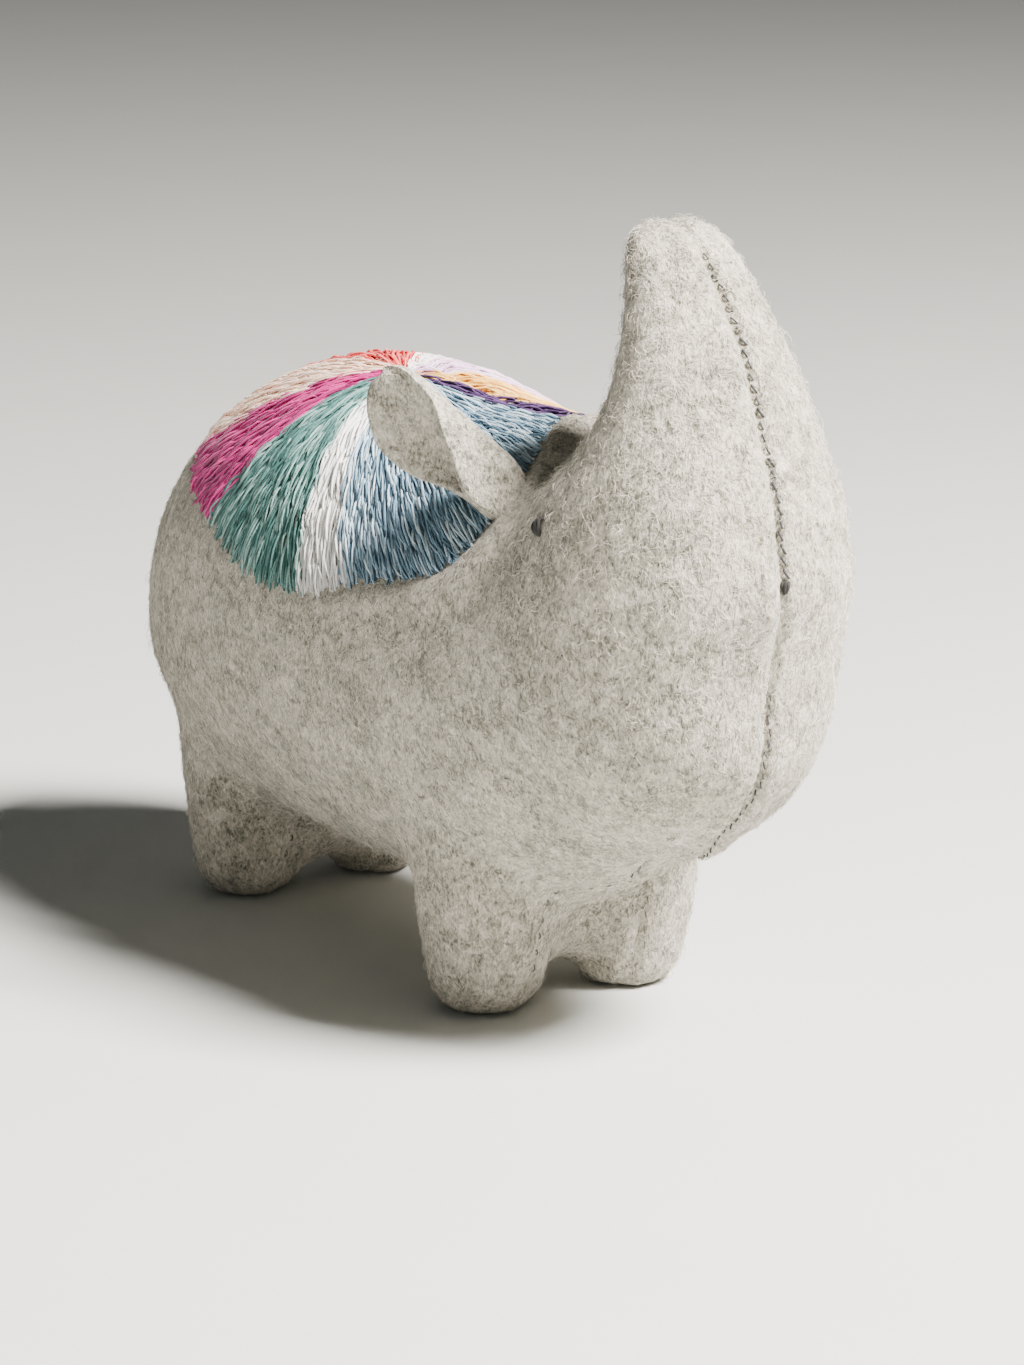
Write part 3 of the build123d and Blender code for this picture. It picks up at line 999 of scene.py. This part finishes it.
# ------------------------------------------------------------------ ears
EAR_ROOT = np.array((36.3, -18.3, 81.7)) * mm
EAR_TIP = np.array((22.5, -28.2, 98.4)) * mm
EAR_SPREAD = np.array((-0.248, -0.691, -0.675))          # across the leaf, out and down
EAR_ACROSS = 22                  # points across the leaf
EAR_SECTIONS = [         # from the tip: distance, then (across, forward) of four places on the leaf
    (-1.2, (1.3, -0.1), (1.6, -0.3), (2.4, -0.6), (3.7, -1.2)),
    (-0.7, (0.4, 0.2), (0.6, -0.1), (2.6, -1.0), (5.0, -2.2)),
    (0.3, (-0.3, 0.5), (-0.5, 0.0), (2.8, -1.7), (6.2, -3.5)),
    (1.6, (-0.8, 0.8), (-1.2, 0.0), (3.0, -2.4), (7.2, -4.8)),
    (3.0, (-0.8, 1.0), (-1.5, 0.0), (3.0, -3.0), (7.9, -5.9)),
    (4.8, (-0.9, 1.4), (-1.8, 0.1), (3.2, -3.7), (8.8, -7.2)),
    (7.6, (-0.6, 2.0), (-2.1, 0.2), (3.0, -4.5), (8.9, -8.2)),
    (11.0, (0.9, 2.7), (-2.6, 0.3), (2.4, -5.0), (8.2, -8.3)),
    (14.6, (2.3, 3.2), (-3.0, 0.4), (1.6, -5.0), (6.8, -7.2)),
    (17.6, (3.5, 3.4), (-3.3, 0.6), (0.9, -4.4), (5.4, -5.0)),
    (20.0, (4.4, 3.2), (-3.6, 0.8), (0.4, -3.6), (4.6, -2.4)),
    (22.4, (4.4, 2.8), (-3.6, 0.8), (0.3, -3.4), (4.2, -0.6)),
    (24.6, (3.7, 2.2), (-3.1, 0.5), (0.3, -3.0), (3.8, -0.2)),
    (26.4, (2.9, 1.5), (-2.4, 0.3), (0.2, -2.6), (3.0, 0.0)),
]


def curve_through(points, count):
    """Evenly many places on a smooth curve through a few points."""
    points = np.asarray(points, float)
    ghost = np.vstack([2 * points[0] - points[1], points, 2 * points[-1] - points[-2]])
    out = []
    for u in np.linspace(0, len(points) - 1 - 1e-9, count):
        i = int(u)
        t = u - i
        a, b, c, d = ghost[i:i + 4]
        out.append(0.5 * (2 * b + (c - a) * t + (2 * a - 5 * b + 4 * c - d) * t ** 2
                          + (3 * b - a - 3 * c + d) * t ** 3))
    return np.array(out)


def leaf(name, rows, across, finish, flip):
    """A felt leaf with a closed wall, through a grid of points."""
    count = len(rows)
    faces = []
    for i in range(count - 1):
        for j in range(across - 1):
            a = i * across + j
            corners = (a, a + 1, a + across + 1, a + across)
            faces.append(corners[::-1] if flip else corners)
    mesh = bpy.data.meshes.new(name)
    mesh.from_pydata([tuple(p) for row in rows for p in row], [], faces)
    thing = new_object(name, mesh)
    wall = thing.modifiers.new("sheet", "SOLIDIFY")
    wall.thickness = 1.5 * mm
    wall.offset = 0
    rounded = thing.modifiers.new("rounded", "SUBSURF")
    rounded.levels = rounded.render_levels = 1
    settle(thing)
    points = coords(thing.data)
    outward = normals(thing.data)
    lumps = 0.10 * mm * smooth_noise(points, 2.2 * mm, 11)
    lumps = lumps + 0.10 * mm * smooth_noise(points, 5 * mm, 12)
    set_coords(thing.data, points + outward * lumps[:, None])
    for polygon in thing.data.polygons:
        polygon.use_smooth = True
    thing.data.materials.append(finish)
    return thing


def make_ear(side, mirror):
    """A cupped ear, its near edge folded forward and its root rolled up and sewn down."""
    along = unit(EAR_ROOT - EAR_TIP)
    spread = unit(EAR_SPREAD - along * (EAR_SPREAD @ along))
    forward = np.cross(spread, along)
    table = np.array([[d, *[v for spot in spots for v in spot]] for d, *spots in EAR_SECTIONS])
    reach = np.concatenate([[-1.2, -0.9, -0.4, 0.3, 1.2], np.linspace(2.2, table[-1, 0], 24)])
    smooth = curve_through(table, 200)
    rows = []
    for distance in reach:
        section = np.array([np.interp(distance, smooth[:, 0], smooth[:, k]) for k in range(1, 9)])
        section = curve_through(section.reshape(4, 2), EAR_ACROSS)
        tuck = bell(distance - 21.6, 1.5) * bell(np.linspace(0, 1, EAR_ACROSS) - 0.13, 0.09)
        section[:, 1] -= 1.1 * tuck
        spots = EAR_TIP + along * distance * mm
        row = spots + np.outer(section[:, 0], spread) * mm + np.outer(section[:, 1], forward) * mm
        rows.append(row * mirror)
    ear = leaf(f"felt_ear_{side}", rows, EAR_ACROSS, FELT_FINISH, mirror[1] < 0)
    start = Vector((EAR_ROOT - along * 0.5 * mm) * mirror)
    end = Vector((EAR_ROOT - along * 7 * mm) * mirror)
    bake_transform(ear)
    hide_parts(f"ear_{side}")


make_ear("right", np.array((1, 1, 1)))
make_ear("left", np.array((1, -1, 1)))


# ------------------------------------------------------------------ eyes and mouth
def knot(name, node, strands, length, width, lean):
    """A small knot of dark thread: a few short stitches over each other."""
    luck = random.Random(SEED + len(name))
    spot, normal = on_skin(middle(node))
    up = unit(np.array((0, 0, 1)) - normal * normal[2])
    side = np.cross(up, normal) * (1 if spot[1] > 0 else -1)
    along = unit(up + side * lean)
    across = np.cross(normal, along)
    lines = []
    for i in range(strands):
        offset = (i - (strands - 1) / 2) / max(1, strands - 1)
        t = np.linspace(-1, 1, 9)
        pinch = 1 - 0.8 * np.clip(-t, 0, 1)
        path = spot + np.outer(t * length / 2 * (1 - 0.35 * abs(offset)), along)
        path = path + np.outer(offset * width * pinch + luck.uniform(-0.1, 0.1) * mm, across)
        rise = (0.55 * (1 - offset ** 2) + 0.15) * mm * (1 - t ** 4) - 0.45 * mm * t ** 8
        lines.append((path + np.outer(rise, normal), 0.27 * mm, luck.random()))
    thread = tubes(name, lines, EYE_FINISH, 8)
    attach(thread, "root")
    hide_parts(node)


knot("knot_eye_right", "eye_right", 5, 2.9 * mm, 1.5 * mm, 0.75)
knot("knot_eye_left", "eye_left", 5, 2.9 * mm, 1.5 * mm, 0.75)
knot("knot_mouth", "mouth_knot", 3, 1.9 * mm, 0.8 * mm, 0.1)


# ------------------------------------------------------------------ tail
def make_tail():
    """A narrow strip of felt, sewn on at its top and hanging free."""
    low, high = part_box("tail")
    top = Vector(((low.x + high.x) / 2 + 0.4 * mm, 0, high.z))
    rows = []
    for t in np.linspace(0, 1, 22):
        width = (2.5 - 1.2 * t) * mm * min(1, 0.35 + 5 * (1 - t))
        row = []
        for u in np.linspace(-1, 1, 9):
            out = -1.2 * mm * math.sin(t * 2.4) + 0.5 * mm * u * u + 0.8 * mm * t
            tuck = 0.5 * mm * max(0, 1 - t / 0.08)
            x = top.x + out * 0.6 - 0.4 * mm + tuck
            y = u * width + 0.5 * mm * math.sin(3 * t)
            row.append((x, y, high.z - t * (high.z - low.z)))
        rows.append(np.array(row))
    tail = leaf("felt_tail", rows, 9, FELT_FINISH, True)
    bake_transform(tail)
    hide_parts("tail")


make_tail()


# ------------------------------------------------------------------ stuffing
def make_stuffing():
    """Lumps of loose wadding inside the felt."""
    wadding = Finish("wadding")
    fluff = wadding.noise(wadding.place(), 2.5 * mm, 4.0, 0.6)
    wadding.set(
        Base_Color=wadding.ramp(fluff, (0.3, (0.70, 0.69, 0.65)), (0.7, (0.86, 0.85, 0.82))),
        Roughness=0.95,
        Sheen_Weight=0.4,
        Normal=wadding.bump(fluff, 0.8 * mm),
    )
    for i, name in enumerate(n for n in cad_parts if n.startswith("stuffing_")):
        lump = new_object(name.replace("stuffing", "wadding"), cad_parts[name].data.copy())
        remesh = lump.modifiers.new("remesh", "REMESH")
        remesh.mode = "VOXEL"
        remesh.voxel_size = 2.4 * mm
        settle(lump)
        relax(lump, 6, np.full(len(lump.data.vertices), 0.5))
        points = coords(lump.data)
        sink = 1.3 * mm + 0.6 * mm * smooth_noise(points, 7 * mm, 20 + i)
        set_coords(lump.data, points - normals(lump.data) * sink[:, None])
        for polygon in lump.data.polygons:
            polygon.use_smooth = True
        lump.data.materials.clear()
        lump.data.materials.append(wadding.material)
        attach(lump, "root")
        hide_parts(name)


make_stuffing()


# ------------------------------------------------------------------ nap
def scatter(mesh, count, luck, wanted):
    """Random places on a mesh, evenly by area, where they are wanted."""
    mesh.calc_loop_triangles()
    corners = np.empty(len(mesh.loop_triangles) * 3, np.int32)
    mesh.loop_triangles.foreach_get("vertices", corners)
    points = coords(mesh)
    outward = normals(mesh)
    corners = corners.reshape(-1, 3)
    a, b, c = (points[corners[:, k]] for k in range(3))
    weight = np.linalg.norm(np.cross(b - a, c - a), axis=1) * wanted((a + b + c) / 3)
    chosen = luck.choice(len(corners), count, p=weight / weight.sum())
    u, v = luck.random((2, count))
    flip = u + v > 1
    u, v = np.where(flip, 1 - u, u)[:, None], np.where(flip, 1 - v, v)[:, None]
    chosen = corners[chosen]
    share = (1 - u - v, u, v)
    spots = sum(k * points[chosen[:, i]] for i, k in enumerate(share))
    facing = unit(sum(k * outward[chosen[:, i]] for i, k in enumerate(share)))
    return spots, facing


def flow_noise(points, size, seed):
    """Three independent soft noises, as vectors."""
    return np.stack([smooth_noise(points, size, seed + 17 * k) for k in range(3)], 1)


def felt_shows(points):
    """Where the nap grows: tufted, clear of the motif, soles and knots, sparse in the seams."""
    away, _ = motif_distance(points)
    clear = (away > 0.9 * mm) * (points[:, 2] > 1.0 * mm)
    for knot_node in ("eye_right", "eye_left", "mouth_knot"):
        clear = clear * (np.linalg.norm(points - middle(knot_node), axis=1) > 2.3 * mm)
    tufts = np.clip(0.55 + 1.5 * smooth_noise(points, 1.9 * mm, 31), 0.08, 1)
    return clear * tufts * (0.35 + 0.65 * (seam_distance(points) > 0.8 * mm))


FIBRE_RISE = 0.9 * mm            # the furthest that a fibre stands off the felt
FULL_TURN = 6.28


def fibres(count):
    """Short curly wool fibres, longer on the trunk, with a few that stand well off the felt."""
    luck = np.random.default_rng(SEED)
    spots, facing = scatter(skin_mesh, count, luck, felt_shows)
    trunk = np.clip((spots[:, 2] - 0.5 * BACK_TOP) / (0.4 * BACK_TOP), 0, 1)
    trunk = (trunk * np.clip((spots[:, 0] - NECK_X + 8 * mm) / (12 * mm), 0, 1))[:, None]
    loose = (luck.random(count) < 0.025)[:, None]
    swirl = flow_noise(spots, 2.6 * mm, 41)
    flow = np.array((0.1, 0, -1)) * (1 - 0.6 * trunk) + swirl * (1.0 + 0.9 * trunk)
    flow = flow + luck.normal(0, 0.45, (count, 3))
    flow = unit(flow - facing * (flow * facing).sum(1)[:, None])
    aside = np.cross(facing, flow)
    length = luck.uniform(0.6, 1.4, count)[:, None] * (1 + 0.35 * trunk + 0.9 * loose) * mm
    rise = luck.gamma(1.7, 0.075, count)[:, None] * (1 + 0.8 * trunk + 3.5 * loose) * mm
    rise = np.minimum(rise + 0.06 * mm, FIBRE_RISE)
    bend = luck.normal(0, 0.22, (2, count))[..., None] * (1 + 0.6 * trunk) * mm
    phase = luck.uniform(0, FULL_TURN, count)[:, None]
    path = []
    for t in np.linspace(0, 1, 4):
        sway = bend[0] * (np.sin(phase + 4.6 * t) - np.sin(phase)) + bend[1] * t * t
        lift = rise * np.sin(math.pi * (0.06 + 0.74 * t)) - 0.12 * mm * (1 - t)
        path.append(spots + flow * length * t + aside * sway + facing * lift)
    thick = luck.uniform(0.022, 0.044, count) * mm
    return spots, np.stack(path, 1), thick, luck.random(count)


def nap_region(points):
    """Which piece of the nap a place belongs to, so that no piece is too big."""
    side = np.where(points[:, 1] < 0, "right", "left")
    head = points[:, 0] - NECK_X + 0.35 * (points[:, 2] - BACK_TOP) > 0
    high = points[:, 2] > 0.72 * BACK_TOP
    upper = points[:, 2] > 0.4 * BACK_TOP
    shoulder = np.where(upper, "shoulder", "chest")
    rump = np.where(upper, "rump", "thigh")
    behind = np.where(points[:, 0] > MOTIF_X, shoulder, rump)
    area = np.where(head, np.where(high, "trunk", "face"), behind)
    return np.char.add(np.char.add(area, "_"), side)


def grow_nap(count):
    spots, path, thick, tint = fibres(count)
    region = nap_region(spots)
    taper = np.array((1, 1, 0.85, 0.5))
    for name in sorted(set(region)):
        chosen = np.where(region == name)[0]
        lines = [(path[i], thick[i] * taper, tint[i]) for i in chosen]
        hair = tubes(f"nap_{name}", lines, FIBRE_FINISH, 3)
        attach(hair, "root")


FIBRE_COUNT = 56000
grow_nap(FIBRE_COUNT)


# ------------------------------------------------------------------ camera, light and floor
FLOOR_HALF = 3.0                 # half the side of the floor, in metres


def point_at(thing, place, aim):
    thing.location = place
    thing.rotation_euler = (Vector(aim) - Vector(place)).to_track_quat("-Z", "Y").to_euler()


def make_camera():
    azimuth = math.radians(57)
    elevation = math.radians(14)
    distance = 694 * mm
    aim = Vector((15.1, -3.3, 47.4)) * mm
    forward = Vector((
        -math.sin(azimuth) * math.cos(elevation),
        math.cos(azimuth) * math.cos(elevation),
        -math.sin(elevation),
    ))
    data = bpy.data.cameras.new("camera")
    data.lens = 121.3
    data.sensor_width = 36
    data.clip_start = 0.01
    data.clip_end = 50
    camera = bpy.data.objects.new("camera", data)
    bpy.context.scene.collection.objects.link(camera)
    point_at(camera, aim - forward * distance, aim)
    bpy.context.scene.camera = camera


def make_light(name, place, size, power, colour):
    data = bpy.data.lights.new(name, "AREA")
    data.size = size
    data.energy = power
    data.color = colour
    lamp = bpy.data.objects.new(name, data)
    bpy.context.scene.collection.objects.link(lamp)
    point_at(lamp, place, (0, 0, 0.05))


def make_studio():
    make_light("key", (0.52, 0.24, 0.74), 0.24, 56.0, (1.0, 0.955, 0.90))
    make_light("fill", (0.75, -0.75, 0.35), 0.9, 0.4, (0.82, 1.0, 0.87))
    world = bpy.data.worlds.new("studio")
    bpy.context.scene.world = world
    world.use_nodes = True
    world.node_tree.nodes["Background"].inputs["Color"].default_value = (0.92, 0.94, 0.93, 1)
    world.node_tree.nodes["Background"].inputs["Strength"].default_value = 0.10
    paper = Finish("paper")
    grain = paper.noise(paper.place(), 40 * mm, 2.0)
    pale = paper.ramp(grain, (0.0, (0.60, 0.61, 0.59)), (1.0, (0.63, 0.64, 0.62)))
    paper.set(Base_Color=pale, Roughness=0.9)
    mesh = bpy.data.meshes.new("floor")
    corners = [(-1, -1), (1, -1), (1, 1), (-1, 1)]
    mesh.from_pydata([(x * FLOOR_HALF, y * FLOOR_HALF, 0) for x, y in corners], [], [(0, 1, 2, 3)])
    mesh.materials.append(paper.material)
    floor = new_object("floor", mesh)


make_camera()
make_studio()
